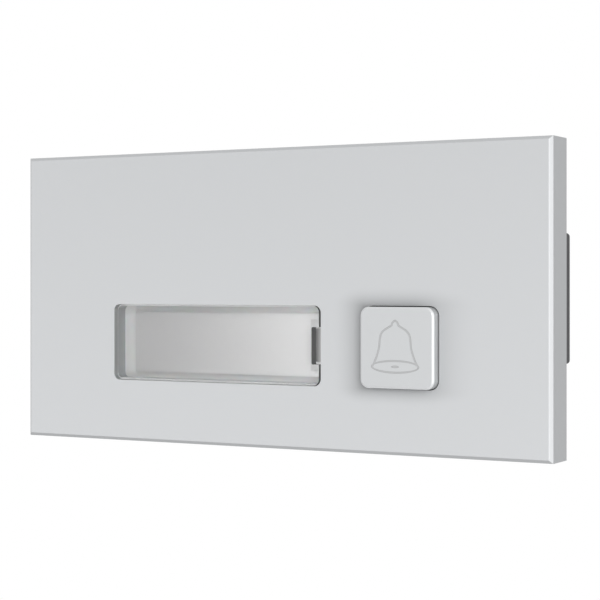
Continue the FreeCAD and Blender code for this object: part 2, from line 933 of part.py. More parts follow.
def make_wire_clamps():
    """A brass clamp in each chamber, bored for the wire, with its solder pin."""
    clamps = []
    for x in pole_places():
        body = chamber(x, clamp_fit)
        lift = terminal_height / 2 - chamber_reach / 2
        middle_y = board_back_y + chamber_floor + chamber_depth / 2
        bottom = -terminal_height / 2
        trim_height = chamber_reach / 2 - terminal_screw_radius - terminal_end_wall
        trim = Part.makeBox(
            chamber_width,
            chamber_depth + cut_over,
            trim_height,
            Vector(x - chamber_width / 2, middle_y - chamber_depth / 2 - cut_over / 2, bottom),
        )
        wire = Part.makeCylinder(
            clamp_bore_radius,
            terminal_height,
            Vector(x, middle_y - clamp_fit, bottom - lift),
            Vector(0, 0, 1),
        )
        tapped = rod(
            terminal_screw_radius + screw_hole_clearance,
            middle_y,
            board_back_y + terminal_depth,
            (x, 0.0),
        )
        pin = rod(
            terminal_pin_radius,
            board_front_y - terminal_pin_reach,
            board_back_y + chamber_floor + 2 * clamp_fit,
            (x, 0.0),
        )
        clamps.append(body.cut([trim, wire, tapped]).fuse(pin).removeSplitter())
    return clamps


def make_terminal_screws():
    """The screws that close the wire clamps, sunk in the terminal's back."""
    back = board_back_y + terminal_depth - terminal_screw_sink
    tip = board_back_y + chamber_floor + chamber_depth - terminal_screw_bite
    pattern = screw(
        terminal_screw_radius,
        back - tip,
        terminal_screw_head_radius,
        terminal_screw_head_height,
        False,
    )
    return [placed(pattern, x, back, 0.0, faces_wall=False) for x in pole_places()]


def make_rear_housing():
    """The dark box that sinks into the wall, with four screw bosses."""
    body = slab(
        housing_width, housing_height, housing_front_y, housing_rear_y, radius=housing_radius
    )
    inside_width = housing_width - 2 * housing_wall
    inside_height = housing_height - 2 * housing_wall
    floor_y = housing_rear_y - housing_wall
    body = body.cut(slab(inside_width, inside_height, housing_front_y - cut_over, floor_y))
    overlap = housing_wall / 2
    boss_width = 2 * housing_boss_inset + overlap
    bosses = []
    for x, z in housing_screw_places:
        centre = (x + math.copysign(overlap / 2, x), z + math.copysign(overlap / 2, z))
        bosses.append(slab(boss_width, boss_width, housing_front_y, floor_y + overlap, centre))
    body = body.fuse(bosses)
    radius = housing_screw_radius + screw_hole_clearance
    end_y = mount_front_y + housing_screw_length + 2 * screw_hole_clearance
    cuts = [rod(radius, housing_front_y - cut_over, end_y, p) for p in housing_screw_places]
    cuts.append(rod(grommet_neck_radius, floor_y - cut_over, housing_rear_y + cut_over, (grommet_x, 0.0)))
    return body.cut(cuts).removeSplitter()


def make_cable_grommet():
    """The rubber grommet that the bell wires come in through."""
    floor_y = housing_rear_y - housing_wall
    centre = (grommet_x, 0.0)
    body = rod(grommet_flange_radius, floor_y - grommet_inner_flange, floor_y, centre)
    body = body.fuse(rod(grommet_neck_radius, floor_y - grommet_inner_flange, housing_rear_y, centre))
    rim = rod(grommet_flange_radius, housing_rear_y, housing_rear_y + grommet_outer_flange, centre)
    body = body.fuse(rim)
    start_y = floor_y - grommet_inner_flange - cut_over
    end_y = housing_rear_y + grommet_outer_flange + cut_over
    return body.cut(rod(grommet_bore_radius, start_y, end_y, centre)).removeSplitter()


def make_mounting_plate():
    """The pressed steel plate: hooks above, tapped tabs below, slots for the wall."""
    body = slab(mount_width, mount_height, mount_front_y, gasket_y, radius=mount_radius)
    edge_z = mount_height / 2
    bends = []
    for side in (-1, 1):
        left = side * tab_x - tab_width / 2
        arm = Part.makeBox(
            tab_width,
            gasket_y - hook_front_y,
            mount_thickness,
            Vector(left, hook_front_y, edge_z - mount_thickness),
        )
        lip_top = plate_height / 2 - rim_wall + hook_lip
        lip = Part.makeBox(
            tab_width,
            mount_thickness,
            lip_top - edge_z + mount_thickness,
            Vector(left, hook_front_y, edge_z - mount_thickness),
        )
        tab = Part.makeBox(
            tab_width, gasket_y - tab_front_y, mount_thickness, Vector(left, tab_front_y, -edge_z)
        )
        bends += [arm, lip, tab]
    body = body.fuse(bends)
    start_y = mount_front_y - cut_over
    end_y = gasket_y + cut_over
    cuts = [
        slab(mount_opening_width, mount_opening_height, start_y, end_y, radius=housing_radius)
    ]
    cuts += [slot(wall_slot_length, wall_slot_width, start_y, end_y, p) for p in wall_slot_places]
    for place in housing_screw_places:
        cuts.append(rod(housing_screw_radius + screw_hole_clearance, start_y, end_y, place))
        cuts.append(front_countersink(place))
    for side in (-1, 1):
        base = Vector(side * tab_x, grub_y, -edge_z - cut_over)
        radius = grub_radius + screw_hole_clearance
        cuts.append(Part.makeCylinder(radius, mount_thickness + 2 * cut_over, base, Vector(0, 0, 1)))
    return body.cut(cuts).removeSplitter()


def front_countersink(place):
    """A cutter for a countersunk head flush with the mounting plate's front."""
    gap = screw_hole_clearance
    return Part.makeCone(
        housing_screw_head_radius + gap,
        housing_screw_radius + gap,
        housing_screw_head_height,
        Vector(place[0], mount_front_y, place[1]),
        Vector(0, 1, 0),
    )


def make_housing_screws():
    """The countersunk screws that hang the housing on the mounting plate."""
    pattern = screw(
        housing_screw_radius,
        housing_screw_length,
        housing_screw_head_radius,
        housing_screw_head_height,
        True,
    )
    return [placed(pattern, x, mount_front_y, z) for x, z in housing_screw_places]


def make_wall_gasket():
    """The foam gasket between the mounting plate and the wall."""
    body = slab(mount_width, mount_height, gasket_y, 0, radius=mount_radius)
    cuts = [
        slab(
            housing_width + 2 * gasket_housing_gap,
            housing_height + 2 * gasket_housing_gap,
            gasket_y - cut_over,
            cut_over,
            radius=housing_radius + gasket_housing_gap,
        )
    ]
    length = wall_slot_length + 2 * gasket_slot_margin
    width = wall_slot_width + 2 * gasket_slot_margin
    cuts += [slot(length, width, gasket_y - cut_over, cut_over, p) for p in wall_slot_places]
    return body.cut(cuts)


def make_grub_screws():
    """The two socket grub screws that lock the front plate from below."""
    screws = []
    for side in (-1, 1):
        bottom = -plate_height / 2 + grub_sink
        start = Vector(side * tab_x, grub_y, bottom)
        body = Part.makeCylinder(grub_radius, grub_length, start, Vector(0, 0, 1))
        socket = hexagon(grub_socket_flats, 0, grub_socket_depth + cut_over, (0.0, 0.0))
        socket.rotate(Vector(0, 0, 0), Vector(1, 0, 0), 90)
        socket.translate(Vector(side * tab_x, grub_y, bottom - cut_over))
        screws.append(body.cut(socket))
    return screws


nodes = {
    "front_cover": make_front_cover,
    "name_window": make_name_window,
    "name_card": make_name_card,
    "card_tray": make_card_tray,
    "push_button": make_push_button,
    "button_carrier": make_button_carrier,
    "carrier_screws": make_carrier_screws,
    "button_seal": make_button_seal,
    "button_guide": make_button_guide,
    "retainer_screws": make_retainer_screws,
    "return_springs": make_return_springs,
    "switch_body": make_switch_body,
    "switch_plunger": make_switch_plunger,
    "circuit_board": make_circuit_board,
    "board_spacers": make_board_spacers,
    "board_screws": make_board_screws,
    "card_lights": make_card_lights,
    "lamp_resistors": make_lamp_resistors,
    "bridge_rectifier": make_bridge_rectifier,
    "terminal_block": make_terminal_block,
    "wire_clamps": make_wire_clamps,
    "terminal_screws": make_terminal_screws,
    "rear_housing": make_rear_housing,
    "cable_grommet": make_cable_grommet,
    "mounting_plate": make_mounting_plate,
    "housing_screws": make_housing_screws,
    "wall_gasket": make_wall_gasket,
    "grub_screws": make_grub_screws,
}

os.makedirs("parts", exist_ok=True)
for name, make in nodes.items():
    made = make()
    shape = Part.makeCompound(made) if isinstance(made, list) else made
    shape.exportStep(os.path.join("parts", name + ".step"))
    print(name, "valid" if shape.isValid() else "not valid", round(shape.Volume, 2))
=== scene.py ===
"""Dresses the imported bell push: finishes for every piece, rounded edges and a studio.

Metres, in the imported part's own frame: X to the right, Z up, Y into the wall.
The front plate faces -Y, and the wall's surface is at Y = 0.
"""
import logging
import math
from dataclasses import dataclass, field
from enum import Enum, IntEnum

import bmesh
import bpy
from mathutils import Euler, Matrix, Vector


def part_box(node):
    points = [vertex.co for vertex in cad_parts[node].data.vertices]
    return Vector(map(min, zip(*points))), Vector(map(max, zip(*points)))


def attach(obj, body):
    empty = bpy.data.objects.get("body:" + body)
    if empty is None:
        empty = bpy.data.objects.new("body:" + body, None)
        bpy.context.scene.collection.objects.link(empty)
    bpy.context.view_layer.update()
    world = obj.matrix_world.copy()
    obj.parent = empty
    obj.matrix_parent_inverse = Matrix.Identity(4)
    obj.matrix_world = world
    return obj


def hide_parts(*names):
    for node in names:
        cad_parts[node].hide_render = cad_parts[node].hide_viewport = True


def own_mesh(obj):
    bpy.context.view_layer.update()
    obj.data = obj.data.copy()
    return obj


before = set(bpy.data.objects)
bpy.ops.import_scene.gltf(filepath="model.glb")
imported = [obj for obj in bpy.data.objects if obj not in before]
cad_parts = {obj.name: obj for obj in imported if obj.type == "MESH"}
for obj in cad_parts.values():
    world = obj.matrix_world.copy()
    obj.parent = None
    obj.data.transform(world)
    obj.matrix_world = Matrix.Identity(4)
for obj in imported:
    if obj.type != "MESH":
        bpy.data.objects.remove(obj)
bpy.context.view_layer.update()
log = logging.getLogger("bell_push")

MM = 0.001
HAIR = 0.005 * MM
SMOOTH_ANGLE = math.radians(32)
FLAT_ANGLE = math.radians(0.5)
MERGE_DISTANCE = 1e-7
LEANING = 0.3
WHITE = (1.0, 1.0, 1.0, 1.0)
BLACK = (0.0, 0.0, 0.0, 1.0)
Colour = tuple[float, float, float]


class Body(Enum):
    """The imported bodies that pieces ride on."""

    HOUSING = "housing"
    BUTTON = "button"
    PLUNGER = "switch_plunger"
    WINDOW = "window"


class Slot(Enum):
    """The record's material slots."""

    ALUMINIUM = "anodised_aluminium"
    ACRYLIC = "clear_acrylic"
    BOX_PLASTIC = "housing_plastic"
    SPRING = "spring_steel"


class PlatePart(IntEnum):
    """The front plate's faces, by the number of their finish."""

    SIDE = 0
    FACE = 1
    WINDOW_WALL = 2
    LEDGE = 3
    BUTTON_HOLE = 4
    LOWER_CHAMFER_SHADED = 5


class PanePart(IntEnum):
    """The pane's faces, by the number of their finish."""

    CLEAR = 0
    NOTCH = 1
    END = 2
    LONG_EDGE = 3


class CapPart(IntEnum):
    """The button cap's faces, by the number of their finish."""

    FACE = 0
    ENGRAVING = 1
    CHAMFER = 2
    SIDE = 3


@dataclass(frozen=True)
class Box:
    """A box between its lowest and its highest corner."""

    low: Vector
    high: Vector

    @classmethod
    def of(cls, node: str) -> "Box":
        """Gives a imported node's box."""
        return cls(*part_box(node))

    def cut(self, low: tuple[float, float, float], high: tuple[float, float, float]) -> "Box":
        """Gives the box with its sides moved inwards.

        Args:
            low: How far the three low sides move.
            high: How far the three high sides move.

        Returns:
            The smaller box.
        """
        return Box(self.low + Vector(low), self.high - Vector(high))

    def holds(self, point: Vector) -> bool:
        """Tells whether a point lies in the box, within a hair."""
        return all(a - HAIR <= p <= b + HAIR for a, p, b in zip(self.low, point, self.high))


@dataclass
class NodeSheet:
    """Adds shader nodes to one tree and links them by name."""

    tree: bpy.types.NodeTree

    def add(self, kind: str, **settings: object) -> bpy.types.Node:
        """Adds a node and sets its properties.

        Args:
            kind: The node's Blender type name.
            settings: Properties of the node, by name.

        Returns:
            The new node.
        """
        node = self.tree.nodes.new(kind)
        for name, value in settings.items():
            setattr(node, name, value)
        return node

    def link(self, source: bpy.types.NodeSocket, target: bpy.types.NodeSocket) -> None:
        """Joins an output to an input."""
        self.tree.links.new(source, target)

    def math(self, operation: str, first: object, second: object = None) -> bpy.types.NodeSocket:
        """Adds a math node.

        Args:
            operation: The operation's Blender name.
            first: A socket or a number.
            second: A socket, a number or nothing.

        Returns:
            The node's output socket.
        """
        node = self.add("ShaderNodeMath", operation=operation)
        for socket, value in zip(node.inputs, (first, second)):
            if isinstance(value, bpy.types.NodeSocket):
                self.link(value, socket)
            elif value is not None:
                socket.default_value = value
        return node.outputs[0]


class GroupKit:
    """Shader node groups that several finishes share, each built once."""

    def __init__(self) -> None:
        """Starts with no group built."""
        self.built: dict[str, bpy.types.NodeTree] = {}

    def get(self, name: str) -> bpy.types.NodeTree:
        """Gives a group, building it at its first use.

        Args:
            name: One of the names of this class's building methods.

        Returns:
            The shader node group.
        """
        if name not in self.built:
            self.built[name] = getattr(self, name)()
        return self.built[name]

    @staticmethod
    def start(
        name: str,
        inputs: dict[str, float],
        outputs: dict[str, str],
    ) -> tuple[NodeSheet, bpy.types.Node, bpy.types.Node]:
        """Makes an empty group with named sockets.

        Args:
            name: The group's name.
            inputs: Float inputs with their first values.
            outputs: Socket types by output name.

        Returns:
            The group's sheet, its input node and its output node.
        """
        tree = bpy.data.node_groups.new(name, "ShaderNodeTree")
        for label, value in inputs.items():
            socket = tree.interface.new_socket(label, in_out="INPUT", socket_type="NodeSocketFloat")
            socket.default_value = value
        for label, kind in outputs.items():
            tree.interface.new_socket(label, in_out="OUTPUT", socket_type=kind)
        sheet = NodeSheet(tree)
        return sheet, sheet.add("NodeGroupInput"), sheet.add("NodeGroupOutput")

    @classmethod
    def blasted_skin(cls) -> bpy.types.NodeTree:
        """Builds the fine even grain of a blasted and anodised face.

        The drift mask is slow noise, and Fade mixes in a painted light run that
        rises from the upper right to the lower left of the plate.

        Returns:
            A group that gives a height and a mask from 0 to 1.
        """
        sheet, given, out = cls.start(
            "blasted_skin",
            {"Grain Scale": 5000.0, "Drift Scale": 25.0, "Fade": 0.0, "Half X": 0.1, "Half Z": 0.1},
            {"Height": "NodeSocketFloat", "Drift": "NodeSocketFloat"},
        )
        place = sheet.add("ShaderNodeTexCoord").outputs["Object"]
        grain = sheet.add("ShaderNodeTexNoise")
        grain.inputs["Detail"].default_value = 3.0
        drift = sheet.add("ShaderNodeTexNoise")
        drift.inputs["Detail"].default_value = 1.0
        for texture, scale in ((grain, "Grain Scale"), (drift, "Drift Scale")):
            sheet.link(place, texture.inputs["Vector"])
            sheet.link(given.outputs[scale], texture.inputs["Scale"])
        parts = sheet.add("ShaderNodeSeparateXYZ")
        sheet.link(place, parts.inputs["Vector"])
        across = sheet.math("DIVIDE", parts.outputs["X"], given.outputs["Half X"])
        up = sheet.math("DIVIDE", parts.outputs["Z"], given.outputs["Half Z"])
        run = sheet.math("SUBTRACT", 0.5, sheet.math("MULTIPLY", sheet.math("ADD", across, up), 0.25))
        mix = sheet.add("ShaderNodeMix")
        sheet.link(given.outputs["Fade"], mix.inputs["Factor"])
        sheet.link(drift.outputs["Fac"], mix.inputs["A"])
        sheet.link(run, mix.inputs["B"])
        sheet.link(grain.outputs["Fac"], out.inputs["Height"])
        sheet.link(mix.outputs["Result"], out.inputs["Drift"])
        return sheet.tree

    @classmethod
    def spark_skin(cls) -> bpy.types.NodeTree:
        """Builds the pitted skin of a moulding from a spark-eroded tool.

        Speckle mixes the pits into the mask, for a skin whose pits show as colour.

        Returns:
            A group that gives a height and a mask from 0 to 1.
        """
        sheet, given, out = cls.start(
            "spark_skin",
            {"Pit Scale": 2400.0, "Drift Scale": 40.0, "Speckle": 0.0},
            {"Height": "NodeSocketFloat", "Drift": "NodeSocketFloat"},
        )
        place = sheet.add("ShaderNodeTexCoord").outputs["Object"]
        pits = sheet.add("ShaderNodeTexVoronoi", feature="SMOOTH_F1")
        noise = sheet.add("ShaderNodeTexNoise")
        drift = sheet.add("ShaderNodeTexNoise")
        for texture, scale in ((pits, "Pit Scale"), (noise, "Pit Scale"), (drift, "Drift Scale")):
            sheet.link(place, texture.inputs["Vector"])
            sheet.link(given.outputs[scale], texture.inputs["Scale"])
        sum_up = sheet.math("ADD", pits.outputs["Distance"], noise.outputs["Fac"])
        mix = sheet.add("ShaderNodeMix")
        sheet.link(given.outputs["Speckle"], mix.inputs["Factor"])
        sheet.link(drift.outputs["Fac"], mix.inputs["A"])
        sheet.link(pits.outputs["Distance"], mix.inputs["B"])
        sheet.link(sheet.math("MULTIPLY", sum_up, 0.5), out.inputs["Height"])
        sheet.link(mix.outputs["Result"], out.inputs["Drift"])
        return sheet.tree

    @classmethod
    def drawn_lines(cls) -> bpy.types.NodeTree:
        """Builds the fine lines that rolling and drawing leave along X.

        Returns:
            A group that gives a height and a mask from 0 to 1.
        """
        sheet, given, out = cls.start(
            "drawn_lines",
            {"Line Scale": 2500.0, "Stretch": 0.02},
            {"Height": "NodeSocketFloat", "Drift": "NodeSocketFloat"},
        )
        place = sheet.add("ShaderNodeTexCoord").outputs["Object"]
        parts = sheet.add("ShaderNodeSeparateXYZ")
        sheet.link(place, parts.inputs["Vector"])
        squeezed = sheet.add("ShaderNodeCombineXYZ")
        along = sheet.math("MULTIPLY", parts.outputs["X"], given.outputs["Stretch"])
        sheet.link(along, squeezed.inputs["X"])
        sheet.link(parts.outputs["Y"], squeezed.inputs["Y"])
        sheet.link(parts.outputs["Z"], squeezed.inputs["Z"])
        lines = sheet.add("ShaderNodeTexNoise")
        drift = sheet.add("ShaderNodeTexNoise")
        drift.inputs["Scale"].default_value = 60.0
        sheet.link(squeezed.outputs["Vector"], lines.inputs["Vector"])
        sheet.link(given.outputs["Line Scale"], lines.inputs["Scale"])
        sheet.link(place, drift.inputs["Vector"])
        sheet.link(lines.outputs["Fac"], out.inputs["Height"])
        sheet.link(drift.outputs["Fac"], out.inputs["Drift"])
        return sheet.tree

    @classmethod
    def painted_light_sheet(cls) -> bpy.types.NodeTree:
        """Builds a matt sheet whose painted light grows paler along X, with a faint tooth.

        Returns:
            A group that gives a height and a painted light mask that rises along X.
        """
        sheet, given, out = cls.start(
            "painted_light_sheet",
            {"Dark End": 0.0, "Pale End": 0.1, "Curve": 1.5, "Tooth Scale": 4000.0},
            {"Height": "NodeSocketFloat", "Drift": "NodeSocketFloat"},
        )
        place = sheet.add("ShaderNodeTexCoord").outputs["Object"]
        parts = sheet.add("ShaderNodeSeparateXYZ")
        sheet.link(place, parts.inputs["Vector"])
        tooth = sheet.add("ShaderNodeTexNoise")
        sheet.link(place, tooth.inputs["Vector"])
        sheet.link(given.outputs["Tooth Scale"], tooth.inputs["Scale"])
        rise = sheet.add("ShaderNodeMapRange")
        sheet.link(parts.outputs["X"], rise.inputs["Value"])
        sheet.link(given.outputs["Dark End"], rise.inputs["From Min"])
        sheet.link(given.outputs["Pale End"], rise.inputs["From Max"])
        sheet.link(tooth.outputs["Fac"], out.inputs["Height"])
        drift = sheet.math("POWER", rise.outputs["Result"], given.outputs["Curve"])
        sheet.link(drift, out.inputs["Drift"])
        return sheet.tree

    @classmethod
    def soft_shade(cls) -> bpy.types.NodeTree:
        """Builds the soft shade that gathers in and round a rectangle.

        Returns:
            A group that gives a mask, 1 in the rectangle and 0 past its reach.
        """
        sheet, given, out = cls.start(
            "soft_shade",
            {
                "Low X": 0.0,
                "High X": 0.01,
                "Low Z": 0.0,
                "High Z": 0.01,
                "Left Reach": 0.004,
                "Right Reach": 0.004,
                "Lower Reach": 0.004,
                "Upper Reach": 0.004,
                "Falloff": 2.0,
            },
            {"Mask": "NodeSocketFloat"},
        )
        parts = sheet.add("ShaderNodeSeparateXYZ")
        sheet.link(sheet.add("ShaderNodeTexCoord").outputs["Object"], parts.inputs["Vector"])
        squares = []
        for way, low_side, high_side in (("X", "Left", "Right"), ("Z", "Lower", "Upper")):
            place = parts.outputs[way]
            under = sheet.math("SUBTRACT", given.outputs["Low " + way], place)
            over = sheet.math("SUBTRACT", place, given.outputs["High " + way])
            under = sheet.math("DIVIDE", under, given.outputs[low_side + " Reach"])
            over = sheet.math("DIVIDE", over, given.outputs[high_side + " Reach"])
            past = sheet.math("MAXIMUM", sheet.math("MAXIMUM", under, over), 0.0)
            squares.append(sheet.math("POWER", past, 2.0))
        distance = sheet.math("SQRT", sheet.math("ADD", squares[0], squares[1]))
        left = sheet.math("SUBTRACT", 1.0, sheet.math("MINIMUM", distance, 1.0))
        sheet.link(sheet.math("POWER", left, given.outputs["Falloff"]), out.inputs["Mask"])
        return sheet.tree


groups = GroupKit()


@dataclass(frozen=True)
class Shade:
    """Where a finish darkens in and round a rectangle, and by how much.

    The reach is how far the shade goes past the rectangle's left, right, lower
    and upper side.
    """

    low_x: float
    high_x: float
    low_z: float
    high_z: float
    reach: tuple[float, float, float, float]
    depth: float
    falloff: float = 2.0

    def values(self) -> dict[str, float]:
        """Gives the values of the shade group's inputs, by name."""
        names = ("Left Reach", "Right Reach", "Lower Reach", "Upper Reach")
        return {
            "Low X": self.low_x,
            "High X": self.high_x,
            "Low Z": self.low_z,
            "High Z": self.high_z,
            "Falloff": self.falloff,
            **dict(zip(names, self.reach)),
        }


@dataclass(frozen=True)
class Finish:
    """A surface: its colours, its gloss and the shared texture group it uses.

    The texture group's Drift moves the colour between the two shades, and its
    Height makes a bump. Glow is painted light: an emission where the drift is near 1.
    """

    name: str
    shade: Colour
    second_shade: Colour
    roughness: float
    roughness_spread: float = 0.04
    metallic: float = 0.0
    texture: str = "spark_skin"
    texture_values: dict[str, float] = field(default_factory=dict)
    bump_depth: float = 0.01 * MM
    bump_strength: float = 0.3
    coat: float = 0.0
    extra: dict[str, float] = field(default_factory=dict)
    shades: tuple[Shade, ...] = ()
    # Painted light: the strength of a glow on a part that is no lamp.
    glow: float = 0.0
    painted_glow_curve: float = 12.0

    def material(self) -> bpy.types.Material:
        """Gives the finish as a material, made at its first use.

        Returns:
            The material.
        """
        made = bpy.data.materials.get(self.name)
        return made if made else self.build()

    def build(self) -> bpy.types.Material:
        """Makes the material's node tree.

        Returns:
            The new material.
        """
        made = bpy.data.materials.new(self.name)
        made.use_nodes = True
        made.node_tree.nodes.clear()
        sheet = NodeSheet(made.node_tree)
        surface = sheet.add("ShaderNodeBsdfPrincipled")
        surface.inputs["Metallic"].default_value = self.metallic
        surface.inputs["Coat Weight"].default_value = self.coat
        for name, value in self.extra.items():
            surface.inputs[name].default_value = value
        texture = sheet.add("ShaderNodeGroup")
        texture.node_tree = groups.get(self.texture)
        for name, value in self.texture_values.items():
            texture.inputs[name].default_value = value
        self.link_colour(sheet, texture, surface)
        self.link_gloss(sheet, texture, surface)
        if self.glow:
            self.link_painted_glow(sheet, texture, surface)
        out = sheet.add("ShaderNodeOutputMaterial")
        sheet.link(surface.outputs["BSDF"], out.inputs["Surface"])
        return made

    def link_colour(self, sheet: NodeSheet, texture: bpy.types.Node, surface: bpy.types.Node) -> None:
        """Moves the base colour between the two shades by the texture's drift.

        Args:
            sheet: The material's tree.
            texture: The texture group's node.
            surface: The material's shader.
        """
        mix = sheet.add("ShaderNodeMix", data_type="RGBA")
        mix.inputs["A"].default_value = (*self.shade, 1.0)
        mix.inputs["B"].default_value = (*self.second_shade, 1.0)
        sheet.link(texture.outputs["Drift"], mix.inputs["Factor"])
        colour = mix.outputs["Result"]
        for shade in self.shades:
            colour = self.darken(sheet, colour, shade)
        sheet.link(colour, surface.inputs["Base Color"])

    def link_painted_glow(self, sheet: NodeSheet, texture: bpy.types.Node, surface: bpy.types.Node) -> None:
        """Paints a faint glow, as painted light, where the drift is near 1.

        Args:
            sheet: The material's tree.
            texture: The texture group's node.
            surface: The material's shader.
        """
        light = sheet.math("POWER", texture.outputs["Drift"], self.painted_glow_curve)
        for shade in self.shades:
            light = self.darken(sheet, light, shade)
        sheet.link(light, surface.inputs["Emission Color"])
        surface.inputs["Emission Strength"].default_value = self.glow

    @staticmethod
    def darken(sheet: NodeSheet, colour: bpy.types.NodeSocket, shade: Shade) -> bpy.types.NodeSocket:
        """Darkens the colour in and round a rectangle.

        Args:
            sheet: The material's tree.
            colour: The colour so far.
            shade: Where the colour darkens.

        Returns:
            The darkened colour.
        """
        soft = sheet.add("ShaderNodeGroup")
        soft.node_tree = groups.get("soft_shade")
        for name, value in shade.values().items():
            soft.inputs[name].default_value = value
        darker = sheet.add("ShaderNodeMix", data_type="RGBA", blend_type="MULTIPLY")
        sheet.link(sheet.math("MULTIPLY", soft.outputs["Mask"], shade.depth), darker.inputs["Factor"])
        sheet.link(colour, darker.inputs["A"])
        darker.inputs["B"].default_value = BLACK
        return darker.outputs["Result"]

    def link_gloss(self, sheet: NodeSheet, texture: bpy.types.Node, surface: bpy.types.Node) -> None:
        """Spreads the roughness by the texture's height and bumps the surface.

        Args:
            sheet: The material's tree.
            texture: The texture group's node.
            surface: The material's shader.
        """
        spread = sheet.math("MULTIPLY", texture.outputs["Height"], self.roughness_spread)
        rough = sheet.math("ADD", spread, self.roughness - self.roughness_spread / 2)
        sheet.link(rough, surface.inputs["Roughness"])
        bump = sheet.add("ShaderNodeBump")
        bump.inputs["Strength"].default_value = self.bump_strength
        bump.inputs["Distance"].default_value = self.bump_depth
        sheet.link(texture.outputs["Height"], bump.inputs["Height"])
        sheet.link(bump.outputs["Normal"], surface.inputs["Normal"])


@dataclass(frozen=True)
class ClearPane:
    """Clear plastic whose polish varies a little over the face."""

    name: str = "clear_pane"
    tint: Colour = (1.0, 1.0, 1.0)
    least_roughness: float = 0.012
    roughness_spread: float = 0.016
    bend: float = 1.33

    def material(self) -> bpy.types.Material:
        """Gives the clear material, made at its first use.

        Returns:
            The material.
        """
        made = bpy.data.materials.get(self.name)
        if made:
            return made
        made = bpy.data.materials.new(self.name)
        made.use_nodes = True
        surface = made.node_tree.nodes["Principled BSDF"]
        surface.inputs["Base Color"].default_value = (*self.tint, 1.0)
        surface.inputs["IOR"].default_value = self.bend
        surface.inputs["Transmission Weight"].default_value = 1.0
        sheet = NodeSheet(made.node_tree)
        texture = sheet.add("ShaderNodeGroup")
        texture.node_tree = groups.get("blasted_skin")
        spread = sheet.math("MULTIPLY", texture.outputs["Drift"], self.roughness_spread)
        rough = sheet.math("ADD", spread, self.least_roughness)
        sheet.link(rough, surface.inputs["Roughness"])
        return made


PLATE_BOX = Box.of("front_cover")
CAP_BOX = Box.of("push_button")
CARD_BOX = Box.of("name_card")
PANE_BOX = Box.of("name_window")
ROW_MIDDLE_Z = (PANE_BOX.low.z + PANE_BOX.high.z) / 2
# The contact shade on the plate's face round the button.
BUTTON_SHADE = Shade(
    low_x=CAP_BOX.low.x,
    high_x=CAP_BOX.high.x - 8.0 * MM,
    low_z=CAP_BOX.low.z,
    high_z=CAP_BOX.high.z,
    reach=(9.8 * MM, 20.0 * MM, 4.8 * MM, 5.3 * MM),
    depth=0.465,
)
# The painted shade of the notch, on the card below it.
NOTCH_SHADE = Shade(
    low_x=PANE_BOX.high.x - 4.0 * MM,
    high_x=PANE_BOX.high.x - 3.4 * MM,
    low_z=ROW_MIDDLE_Z - 4.3 * MM,
    high_z=ROW_MIDDLE_Z + 4.3 * MM,
    reach=(0.2 * MM, 4.6 * MM, 0.5 * MM, 0.5 * MM),
    depth=0.70,
)
# A greyer painted shade that frames the notch, on the card.
NOTCH_FRAME_SHADE = Shade(
    low_x=PANE_BOX.high.x - 4.7 * MM,
    high_x=PANE_BOX.high.x - 2.8 * MM,
    low_z=ROW_MIDDLE_Z - 6.7 * MM,
    high_z=ROW_MIDDLE_Z + 6.7 * MM,
    reach=(0.4 * MM, 0.8 * MM, 0.4 * MM, 0.4 * MM),
    depth=0.16,
)
# The shade on the tray along the card's lower side.
UNDER_CARD_SHADE = Shade(
    low_x=CARD_BOX.low.x + 0.5 * MM,
    high_x=CARD_BOX.high.x - 26.0 * MM,
    low_z=CARD_BOX.low.z,
    high_z=CARD_BOX.high.z - 1.0 * MM,
    reach=(1.5 * MM, 36.0 * MM, 1.4 * MM, 0.8 * MM),
    depth=0.26,
    falloff=1.0,
)
# The fainter shade on the tray above the card.
OVER_CARD_SHADE = Shade(
    low_x=CARD_BOX.low.x,
    high_x=CARD_BOX.high.x - 28.0 * MM,
    low_z=CARD_BOX.high.z,
    high_z=PLATE_BOX.high.z,
    reach=(1.0 * MM, 28.0 * MM, 1.0 * MM, 1.0 * MM),
    depth=0.14,
    falloff=1.0,
)
# Where the painted light of the card and the tray runs from dark to pale.
CARD_PAINTED_LIGHT_RUN = {"Dark End": CARD_BOX.low.x, "Pale End": CARD_BOX.high.x}

ANODISED = Finish(
    name="satin_anodised",
    shade=(0.640, 0.652, 0.664),
    second_shade=(0.650, 0.662, 0.674),
    roughness=0.5,
    metallic=0.4,
    texture="blasted_skin",
    bump_depth=0.004 * MM,
    bump_strength=0.2,
)
# The face's colour carries a painted light run, darker at the upper right and paler at the lower
# left, and the painted shade round the button.
ANODISED_FACE = Finish(
    name="satin_anodised_face",
    shade=(0.593, 0.604, 0.615),
    second_shade=(0.690, 0.703, 0.716),
    roughness=0.5,
    metallic=0.4,
    texture="blasted_skin",
    texture_values={"Fade": 0.97, "Half X": PLATE_BOX.high.x, "Half Z": PLATE_BOX.high.z},
    bump_depth=0.004 * MM,
    bump_strength=0.2,
    shades=(BUTTON_SHADE,),
)
# A darker copy of the anodised finish, as painted shade on the plate's lower chamfer.
LOWER_CHAMFER_SHADED = Finish(
    name="satin_anodised_lower_chamfer_painted_shade",
    shade=(0.545, 0.555, 0.566),
    second_shade=(0.575, 0.585, 0.596),
    roughness=0.5,
    metallic=0.4,
    texture="blasted_skin",
    bump_depth=0.004 * MM,
    bump_strength=0.2,
)
# A darker copy of the aluminium, as painted shade on the window opening's left and lower walls.
SHADED_MILLED_WALL = Finish(
    name="milled_wall_painted_shade",
    shade=(0.41, 0.42, 0.425),
    second_shade=(0.44, 0.45, 0.455),
    roughness=0.45,
    metallic=0.4,
    texture="drawn_lines",
    bump_depth=0.002 * MM,
)
